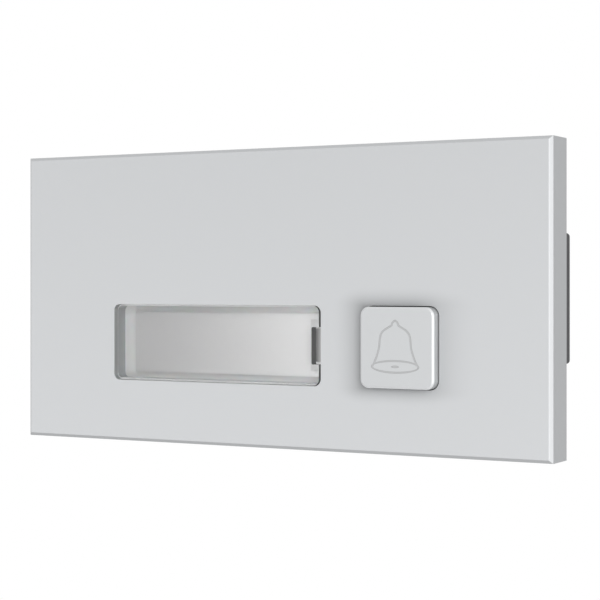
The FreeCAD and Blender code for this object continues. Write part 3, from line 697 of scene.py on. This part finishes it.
# A darker copy of the cap's aluminium, as painted shade on the cap's sides.
CAP_SIDE_SHADED = Finish(
    name="milled_cap_side_painted_shade",
    shade=(0.47, 0.48, 0.485),
    second_shade=(0.50, 0.51, 0.515),
    roughness=0.42,
    metallic=0.4,
    texture="drawn_lines",
    bump_depth=0.002 * MM,
)
# A paler copy of the aluminium, as painted light on the window opening's ledge and the walls near the
# front.
LEDGE = Finish(
    name="ledge_painted_light",
    shade=(0.90, 0.905, 0.91),
    second_shade=(0.93, 0.935, 0.94),
    roughness=0.35,
    metallic=0.2,
    texture="blasted_skin",
    bump_depth=0.001 * MM,
    bump_strength=0.1,
)
# Brighter than the anodised faces: partly a bright cut finish, partly painted highlight on the cap's
# chamfers and painted light in the button's hole.
CUT_EDGE_AND_HIGHLIGHT = Finish(
    name="bright_cut_edge_and_painted_highlight",
    shade=(0.78, 0.79, 0.80),
    second_shade=(0.81, 0.82, 0.83),
    roughness=0.32,
    metallic=0.4,
    texture="blasted_skin",
    bump_depth=0.001 * MM,
    bump_strength=0.1,
)
CAP_ANODISED = Finish(
    name="satin_anodised_cap",
    shade=(0.66, 0.675, 0.685),
    second_shade=(0.668, 0.68, 0.69),
    roughness=0.4,
    metallic=0.45,
    texture="blasted_skin",
    bump_depth=0.004 * MM,
    bump_strength=0.2,
)
ENGRAVED = Finish(
    name="etched_lines",
    shade=(0.475, 0.48, 0.485),
    second_shade=(0.515, 0.52, 0.525),
    roughness=0.7,
    metallic=0.2,
    texture="blasted_skin",
)
# The card's colour is painted light, paler towards its right end, where a painted glow adds to it,
# with the notch's painted shade.
CARD = Finish(
    name="pale_card",
    shade=(0.535, 0.535, 0.535),
    second_shade=(0.97, 0.97, 0.97),
    roughness=0.5,
    texture="painted_light_sheet",
    texture_values=CARD_PAINTED_LIGHT_RUN,
    bump_depth=0.01 * MM,
    shades=(NOTCH_SHADE, NOTCH_FRAME_SHADE),
    glow=0.14,
)
# The tray's colour is painted light, paler towards the right, with painted shade along the card.
OPAL = Finish(
    name="opal_moulding",
    shade=(0.73, 0.735, 0.73),
    second_shade=(0.93, 0.93, 0.93),
    roughness=0.35,
    texture="painted_light_sheet",
    texture_values=CARD_PAINTED_LIGHT_RUN,
    bump_depth=0.003 * MM,
    shades=(UNDER_CARD_SHADE, OVER_CARD_SHADE),
    extra={"Subsurface Weight": 0.15, "Subsurface Scale": 1.0 * MM},
)
BLACK_MOULDING = Finish(
    name="black_moulding",
    shade=(0.035, 0.035, 0.037),
    second_shade=(0.045, 0.045, 0.048),
    roughness=0.5,
)
BOX_MOULDING = Finish(
    name="dark_grey_moulding",
    shade=(0.068, 0.068, 0.071),
    second_shade=(0.142, 0.141, 0.146),
    roughness=0.5,
    roughness_spread=0.1,
    texture_values={"Pit Scale": 1300.0, "Drift Scale": 60.0, "Speckle": 0.5},
    bump_depth=0.04 * MM,
    bump_strength=0.7,
)
GREY_MOULDING = Finish(
    name="grey_moulding",
    shade=(0.34, 0.36, 0.38),
    second_shade=(0.37, 0.39, 0.41),
    roughness=0.45,
)
RUBBER = Finish(
    name="soft_rubber",
    shade=(0.030, 0.030, 0.031),
    second_shade=(0.045, 0.045, 0.046),
    roughness=0.75,
    bump_depth=0.02 * MM,
    extra={"Sheen Weight": 0.15},
)
FOAM = Finish(
    name="closed_cell_foam",
    shade=(0.008, 0.008, 0.009),
    second_shade=(0.150, 0.150, 0.155),
    roughness=0.85,
    texture_values={"Pit Scale": 1000.0, "Speckle": 0.9},
    bump_depth=0.25 * MM,
    bump_strength=1.0,
)
ZINC = Finish(
    name="zinc_plate",
    shade=(0.60, 0.615, 0.63),
    second_shade=(0.68, 0.685, 0.68),
    roughness=0.34,
    roughness_spread=0.12,
    metallic=1.0,
    texture="drawn_lines",
    bump_depth=0.004 * MM,
)
SPRING_WIRE = Finish(
    name="drawn_spring_wire",
    shade=(0.55, 0.55, 0.56),
    second_shade=(0.62, 0.62, 0.62),
    roughness=0.28,
    metallic=1.0,
    texture="drawn_lines",
    bump_depth=0.002 * MM,
)
BRASS = Finish(
    name="turned_brass",
    shade=(0.74, 0.56, 0.28),
    second_shade=(0.80, 0.62, 0.34),
    roughness=0.28,
    metallic=1.0,
    texture="drawn_lines",
    bump_depth=0.003 * MM,
)
BOARD = Finish(
    name="green_board",
    shade=(0.018, 0.13, 0.06),
    second_shade=(0.025, 0.17, 0.08),
    roughness=0.35,
    coat=0.3,
)
LAMP = Finish(
    name="lamp_resin",
    shade=(0.86, 0.84, 0.70),
    second_shade=(0.90, 0.88, 0.76),
    roughness=0.25,
    coat=0.3,
)
CHIP = Finish(
    name="chip_moulding",
    shade=(0.04, 0.04, 0.043),
    second_shade=(0.055, 0.055, 0.06),
    roughness=0.5,
)
PANE = ClearPane()
# A dark finish as painted shade, on the pane's notch and its right end.
NOTCH_WALL_SHADED = Finish(
    name="notch_wall_painted_shade",
    shade=(0.10, 0.10, 0.10),
    second_shade=(0.14, 0.14, 0.14),
    roughness=0.6,
    texture="drawn_lines",
    bump_depth=0.005 * MM,
)
# The pane's left end: a matt sawn end, its grey partly painted shade.
SAWN_AND_SHADED_PANE_END = Finish(
    name="sawn_pane_end_and_painted_shade",
    shade=(0.38, 0.39, 0.39),
    second_shade=(0.42, 0.43, 0.43),
    roughness=0.7,
    texture="drawn_lines",
    bump_depth=0.005 * MM,
)
PANE_EDGE = Finish(
    name="planed_pane_edge",
    shade=(0.70, 0.71, 0.71),
    second_shade=(0.74, 0.75, 0.75),
    roughness=0.6,
    texture="drawn_lines",
    bump_depth=0.003 * MM,
)


@dataclass(frozen=True)
class EdgeBreak:
    """How far and how finely outer edges are rounded."""

    width: float
    segments: int = 3
    least_angle: float = math.radians(40)

    def apply(self, mesh: bmesh.types.BMesh, inside: Box, outside: Box | None = None) -> None:
        """Rounds the outer edges that lie in one box and not in another.

        Args:
            mesh: The mesh that is changed.
            inside: Both ends of an edge lie in this box.
            outside: Edges in this box are left as they are.
        """
        chosen = []
        for edge in mesh.edges:
            if not edge.is_manifold or edge.calc_face_angle_signed() < self.least_angle:
                continue
            held = all(inside.holds(v.co) for v in edge.verts)
            if held and not (outside and all(outside.holds(v.co) for v in edge.verts)):
                chosen.append(edge)
        bmesh.ops.bevel(
            mesh,
            geom=chosen,
            offset=self.width,
            offset_type="OFFSET",
            segments=self.segments,
            profile=0.5,
            affect="EDGES",
            material=-1,
            clamp_overlap=True,
        )


def paint(node: str, finish: Finish) -> None:
    """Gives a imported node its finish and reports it."""
    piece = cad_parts[node]
    piece.data.materials.clear()
    piece.data.materials.append(finish.material())
    log.info("%s: painted %s", node, finish.name)


def merged_copy(node: str) -> bmesh.types.BMesh:
    """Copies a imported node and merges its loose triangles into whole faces.

    Args:
        node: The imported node.

    Returns:
        The copy, in place.
    """
    mesh = bmesh.new()
    mesh.from_mesh(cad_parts[node].data)
    bmesh.ops.remove_doubles(mesh, verts=mesh.verts, dist=MERGE_DISTANCE)
    bmesh.ops.dissolve_limit(mesh, angle_limit=FLAT_ANGLE, verts=mesh.verts, edges=mesh.edges)
    return mesh


def finish_piece(
    mesh: bmesh.types.BMesh,
    node: str,
    body: Body,
    finishes: tuple[Finish | ClearPane, ...],
) -> bpy.types.Object:
    """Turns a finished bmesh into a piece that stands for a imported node.

    Args:
        mesh: The piece's shape, in place.
        node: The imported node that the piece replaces.
        body: The body that the piece rides on.
        finishes: The finishes, in the order of the faces' material numbers.

    Returns:
        The new piece.
    """
    for edge in mesh.edges:
        edge.smooth = not edge.is_manifold or edge.calc_face_angle() < SMOOTH_ANGLE
    for face in mesh.faces:
        face.smooth = True
    name = node + "_dressed"
    data = bpy.data.meshes.new(name)
    mesh.to_mesh(data)
    mesh.free()
    for finish in finishes:
        data.materials.append(finish.material())
    piece = bpy.data.objects.new(name, data)
    bpy.context.scene.collection.objects.link(piece)
    even = piece.modifiers.new("even_faces", "WEIGHTED_NORMAL")
    even.keep_sharp = True
    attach(piece, body.value)
    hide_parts(node)
    log.info("%s: %d faces, painted %s", name, len(data.polygons), finishes[0].name)
    return piece


@dataclass
class FrontPlate:
    """The aluminium plate with the card and tray behind its window."""

    rim: float = 1.5 * MM
    ledge_depth: float = 3.0 * MM
    frontal: float = 0.99
    least_lean: float = 0.1
    window_edge: EdgeBreak = EdgeBreak(0.08 * MM, 2)
    button_edge: EdgeBreak = EdgeBreak(0.08 * MM, 2)
    outline_edge: EdgeBreak = EdgeBreak(0.08 * MM, 2)

    def dress(self) -> None:
        """Rounds the plate's front edges and paints the tray and the card."""
        mesh = merged_copy("front_cover")
        plate = PLATE_BOX
        depth = plate.high.y - plate.low.y
        window = self.opening_round(PANE_BOX, plate)
        hole = self.opening_round(CAP_BOX, plate)
        self.window_edge.apply(mesh, window)
        self.button_edge.apply(mesh, hole)
        self.outline_edge.apply(mesh, plate.cut((0.0, 0.0, 0.0), (0.0, depth - self.rim, 0.0)))
        for face in mesh.faces:
            face.material_index = self.part_of(face, window, hole)
        # The wall and lower chamfer finishes carry painted shade, the ledge and hole finishes painted
        # light.
        finishes = (ANODISED, ANODISED_FACE, SHADED_MILLED_WALL, LEDGE, CUT_EDGE_AND_HIGHLIGHT, LOWER_CHAMFER_SHADED)
        finish_piece(mesh, "front_cover", Body.HOUSING, finishes)
        paint("card_tray", OPAL)
        paint("name_card", CARD)
        paint("retainer_screws", ZINC)

    def part_of(self, face: bmesh.types.BMFace, window: Box, hole: Box) -> PlatePart:
        """Tells which part of the plate a face belongs to.

        Args:
            face: A face of the plate.
            window: The flat box round the window's opening.
            hole: The flat box round the button's hole.

        Returns:
            The part.
        """
        place = face.calc_center_median()
        behind = place.y - PLATE_BOX.low.y
        on_face = Vector((place.x, PLATE_BOX.low.y, place.z))
        in_window = window.holds(on_face)
        at_left = place.x < PANE_BOX.low.x + self.rim and face.normal.x > LEANING
        at_bottom = place.z < PANE_BOX.low.z + HAIR and face.normal.z > LEANING
        if face.normal.y < -self.frontal and behind < HAIR:
            return PlatePart.FACE
        if in_window and (at_left or at_bottom):
            return PlatePart.WINDOW_WALL
        if in_window and behind < self.ledge_depth:
            return PlatePart.LEDGE
        if hole.holds(on_face):
            return PlatePart.BUTTON_HOLE
        # The lower chamfer takes the finish with painted shade.
        if behind < self.rim and face.normal.y < -self.least_lean and face.normal.z < -LEANING:
            return PlatePart.LOWER_CHAMFER_SHADED
        return PlatePart.SIDE

    def opening_round(self, filler: Box, plate: Box) -> Box:
        """Gives the flat box in the plate's face that holds an opening's edge.

        Args:
            filler: The box of what fills the opening.
            plate: The plate's box.

        Returns:
            A box of no depth, a little wider than the opening.
        """
        low = Vector((filler.low.x - self.rim, plate.low.y, filler.low.z - self.rim))
        high = Vector((filler.high.x + self.rim, plate.low.y, filler.high.z + self.rim))
        return Box(low, high)


@dataclass
class NameWindow:
    """The clear pane over the card."""

    edge: EdgeBreak = EdgeBreak(0.05 * MM, 2)
    seat_gap: float = 0.02 * MM
    grip: float = 0.09 * MM
    edge_band: float = 0.9 * MM
    frontal: float = 0.5

    def dress(self) -> None:
        """Rounds the pane, brings its edges up to the opening and paints it."""
        mesh = merged_copy("name_window")
        pane = PANE_BOX
        self.edge.apply(mesh, pane)
        middle = (pane.low + pane.high) / 2
        for vert in mesh.verts:
            vert.co.z += math.copysign(self.grip, vert.co.z - middle.z)
            if vert.co.x < middle.x:
                vert.co.x -= self.grip
        back = [v for v in mesh.verts if v.co.y > pane.high.y - HAIR]
        bmesh.ops.translate(mesh, vec=(0.0, -self.seat_gap, 0.0), verts=back)
        inset = (self.edge_band, 0.0, self.edge_band)
        inner = pane.cut(inset, inset)
        for face in mesh.faces:
            face.material_index = self.part_of(face, inner)
        finishes = (PANE, NOTCH_WALL_SHADED, SAWN_AND_SHADED_PANE_END, PANE_EDGE)
        finish_piece(mesh, "name_window", Body.WINDOW, finishes)

    def part_of(self, face: bmesh.types.BMFace, inner: Box) -> PanePart:
        """Tells which part of the pane a face belongs to.

        Args:
            face: A face of the pane.
            inner: The pane's box without the band along its edges.

        Returns:
            The part. The right end gets the notch's painted shade too.
        """
        if abs(face.normal.y) > self.frontal:
            return PanePart.CLEAR
        if inner.holds(face.calc_center_median()) or face.normal.x > LEANING:
            return PanePart.NOTCH
        if face.normal.x < -LEANING:
            return PanePart.END
        return PanePart.LONG_EDGE


@dataclass
class PushButton:
    """The cap, its carrier and what guides and returns them."""

    border: float = 1.2 * MM
    chamfer_depth: float = 0.7 * MM
    edge: EdgeBreak = EdgeBreak(0.05 * MM, 2)
    travel: float = 1.5 * MM
    frontal: float = 0.95

    def dress(self) -> None:
        """Dresses the cap and the springs and paints what is behind them."""
        self.dress_cap()
        self.dress_springs()
        paint("button_carrier", BLACK_MOULDING)
        paint("carrier_screws", ZINC)
        paint("button_seal", RUBBER)
        paint("button_guide", BLACK_MOULDING)

    def dress_cap(self) -> None:
        """Rounds the cap's outer edges and darkens the engraved lines."""
        mesh = merged_copy("push_button")
        cap = CAP_BOX
        behind = cap.high.y - cap.low.y - self.chamfer_depth
        front = cap.cut((0.0, 0.0, 0.0), (0.0, behind, 0.0))
        inner = cap.cut((self.border, 0.0, self.border), (self.border, behind, self.border))
        self.edge.apply(mesh, front, inner)
        for face in mesh.faces:
            middle = face.calc_center_median()
            if inner.holds(middle) and middle.y > cap.low.y + HAIR:
                face.material_index = CapPart.ENGRAVING
            # Chamfers take the finish with painted highlight, and sides the one with painted shade.
            elif front.holds(middle) and LEANING < abs(face.normal.y) < self.frontal:
                face.material_index = CapPart.CHAMFER
            elif abs(face.normal.y) < LEANING:
                face.material_index = CapPart.SIDE
        finishes = (CAP_ANODISED, ENGRAVED, CUT_EDGE_AND_HIGHLIGHT, CAP_SIDE_SHADED)
        finish_piece(mesh, "push_button", Body.BUTTON, finishes)

    def dress_springs(self) -> None:
        """Copies the two springs into a piece with a mesh of its own."""
        springs = Box.of("return_springs")
        mesh = merged_copy("return_springs")
        piece = finish_piece(mesh, "return_springs", Body.HOUSING, (SPRING_WIRE,))
        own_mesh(piece)


@dataclass
class Electrics:
    """The board with its switch, lamps, rectifier and terminal."""

    finishes: dict[str, Finish] = field(
        default_factory=lambda: {
            "circuit_board": BOARD,
            "board_spacers": BRASS,
            "board_screws": ZINC,
            "switch_body": BLACK_MOULDING,
            "switch_plunger": GREY_MOULDING,
            "card_lights": LAMP,
            "lamp_resistors": CHIP,
            "bridge_rectifier": CHIP,
            "terminal_block": GREY_MOULDING,
            "wire_clamps": BRASS,
            "terminal_screws": ZINC,
        }
    )

    def dress(self) -> None:
        """Paints every electrical piece."""
        for node, finish in self.finishes.items():
            paint(node, finish)


@dataclass
class WallSide:
    """The steel plate, its gasket and the box that sinks into the wall."""

    edge: EdgeBreak = EdgeBreak(0.25 * MM)

    def dress(self) -> None:
        """Rounds the box's edges and paints the wall side."""
        mesh = merged_copy("rear_housing")
        self.edge.apply(mesh, Box.of("rear_housing"))
        finish_piece(mesh, "rear_housing", Body.HOUSING, (BOX_MOULDING,))
        paint("cable_grommet", RUBBER)
        paint("mounting_plate", ZINC)
        paint("housing_screws", ZINC)
        paint("wall_gasket", FOAM)
        paint("grub_screws", ZINC)


@dataclass(frozen=True)
class Softbox:
    """A square area light that looks at the plate."""

    name: str
    azimuth: float
    elevation: float
    distance: float
    side: float
    watts: float

    def build(self) -> None:
        """Makes the light. Azimuth 0 is straight in front, and positive is to the right."""
        lamp = bpy.data.lights.new(self.name, "AREA")
        lamp.shape = "SQUARE"
        lamp.size = self.side
        lamp.energy = self.watts
        turn = math.radians(self.azimuth)
        rise = math.radians(self.elevation)
        flat = math.cos(rise)
        place = Vector((math.sin(turn) * flat, -math.cos(turn) * flat, math.sin(rise)))
        piece = bpy.data.objects.new(self.name, lamp)
        piece.location = place * self.distance
        piece.rotation_euler = place.to_track_quat("Z", "Y").to_euler()
        piece.visible_camera = False
        bpy.context.scene.collection.objects.link(piece)


@dataclass
class Studio:
    """The camera, the light, the white surround and the floor.

    The fade and glow runs say where each starts and ends: on the floor as a
    share of its radius, and in the surround from front to wall.
    """

    camera_place: tuple[float, float, float] = (0.2256, -0.3966, 0.0045)
    camera_turn: float = math.radians(29.165)
    sensor: float = 36.0
    lens: float = 100.94
    picture_side: float = 600.0
    horizon_row: float = 281.15
    floor_level: float = -0.30
    floor_radius: float = 1.15
    floor_segments: int = 96
    floor_paint: Colour = (0.86, 0.86, 0.86)
    floor_roughness: float = 0.8
    floor_fade: tuple[float, float] = (0.45, 0.98)
    front_glow: float = 0.66
    wall_glow: float = 0.34
    glow_run: tuple[float, float] = (-0.7, 0.4)
    light: Softbox = Softbox(
        name="key_softbox",
        azimuth=36.0,
        elevation=3.0,
        distance=2.4,
        side=1.6,
        watts=44.0,
    )

    def build(self) -> None:
        """Makes everything in the studio."""
        self.build_camera()
        self.light.build()
        self.build_surround()
        self.build_floor()

    def build_camera(self) -> None:
        """Places the camera level, looking a little to the left."""
        data = bpy.data.cameras.new("photo_camera")
        data.sensor_width = self.sensor
        data.lens = self.lens
        data.shift_y = (self.horizon_row - self.picture_side / 2) / self.picture_side
        data.clip_start = 0.01
        data.dof.use_dof = False
        camera = bpy.data.objects.new("photo_camera", data)
        camera.location = self.camera_place
        camera.rotation_euler = Euler((math.radians(90), 0.0, self.camera_turn))
        bpy.context.scene.collection.objects.link(camera)
        bpy.context.scene.camera = camera

    def build_surround(self) -> None:
        """Makes the soft surround: brighter in front, and paper white to the camera."""
        world = bpy.data.worlds.new("soft_surround")
        world.use_nodes = True
        bpy.context.scene.world = world
        world.node_tree.nodes.clear()
        sheet = NodeSheet(world.node_tree)
        ways = sheet.add("ShaderNodeSeparateXYZ")
        sheet.link(sheet.add("ShaderNodeTexCoord").outputs["Generated"], ways.inputs["Vector"])
        glow = sheet.add("ShaderNodeMapRange", interpolation_type="SMOOTHSTEP")
        glow.inputs["From Min"].default_value = self.glow_run[0]
        glow.inputs["From Max"].default_value = self.glow_run[1]
        glow.inputs["To Min"].default_value = self.front_glow
        glow.inputs["To Max"].default_value = self.wall_glow
        sheet.link(ways.outputs["Y"], glow.inputs["Value"])
        fill = sheet.add("ShaderNodeBackground")
        fill.inputs["Color"].default_value = WHITE
        sheet.link(glow.outputs["Result"], fill.inputs["Strength"])
        paper = sheet.add("ShaderNodeBackground")
        paper.inputs["Color"].default_value = WHITE
        seen = sheet.add("ShaderNodeLightPath")
        mix = sheet.add("ShaderNodeMixShader")
        out = sheet.add("ShaderNodeOutputWorld")
        sheet.link(seen.outputs["Is Camera Ray"], mix.inputs[0])
        sheet.link(fill.outputs[0], mix.inputs[1])
        sheet.link(paper.outputs[0], mix.inputs[2])
        sheet.link(mix.outputs[0], out.inputs["Surface"])

    def build_floor(self) -> None:
        """Lays a pale round floor whose rim fades into the surround."""
        mesh = bmesh.new()
        bmesh.ops.create_circle(
            mesh,
            cap_ends=True,
            radius=self.floor_radius,
            segments=self.floor_segments,
        )
        bmesh.ops.translate(mesh, vec=(0.0, 0.0, self.floor_level), verts=mesh.verts)
        data = bpy.data.meshes.new("studio_floor")
        mesh.to_mesh(data)
        mesh.free()
        floor = bpy.data.objects.new("studio_floor", data)
        bpy.context.scene.collection.objects.link(floor)
        data.materials.append(self.floor_material())

    def floor_material(self) -> bpy.types.Material:
        """Makes the floor's pale paint, clear towards the rim.

        Returns:
            The material.
        """
        made = bpy.data.materials.new("studio_floor")
        made.use_nodes = True
        sheet = NodeSheet(made.node_tree)
        surface = made.node_tree.nodes["Principled BSDF"]
        surface.inputs["Base Color"].default_value = (*self.floor_paint, 1.0)
        surface.inputs["Roughness"].default_value = self.floor_roughness
        place = sheet.add("ShaderNodeTexCoord").outputs["Object"]
        flat = sheet.add("ShaderNodeVectorMath", operation="MULTIPLY")
        flat.inputs[1].default_value = (1.0, 1.0, 0.0)
        sheet.link(place, flat.inputs[0])
        reach = sheet.add("ShaderNodeVectorMath", operation="LENGTH")
        sheet.link(flat.outputs["Vector"], reach.inputs[0])
        fade = sheet.add("ShaderNodeMapRange", interpolation_type="SMOOTHSTEP")
        fade.inputs["From Min"].default_value = self.floor_radius * self.floor_fade[0]
        fade.inputs["From Max"].default_value = self.floor_radius * self.floor_fade[1]
        fade.inputs["To Min"].default_value = 1.0
        fade.inputs["To Max"].default_value = 0.0
        sheet.link(reach.outputs["Value"], fade.inputs["Value"])
        sheet.link(fade.outputs["Result"], surface.inputs["Alpha"])
        return made


def main() -> None:
    """Builds the studio, then dresses each sub-assembly in order."""
    logging.basicConfig(level=logging.INFO, format="%(message)s")
    bpy.context.scene.view_settings.view_transform = "Standard"
    Studio().build()
    for part in (FrontPlate(), NameWindow(), PushButton(), Electrics(), WallSide()):
        part.dress()


if __name__ == "__main__":
    main()
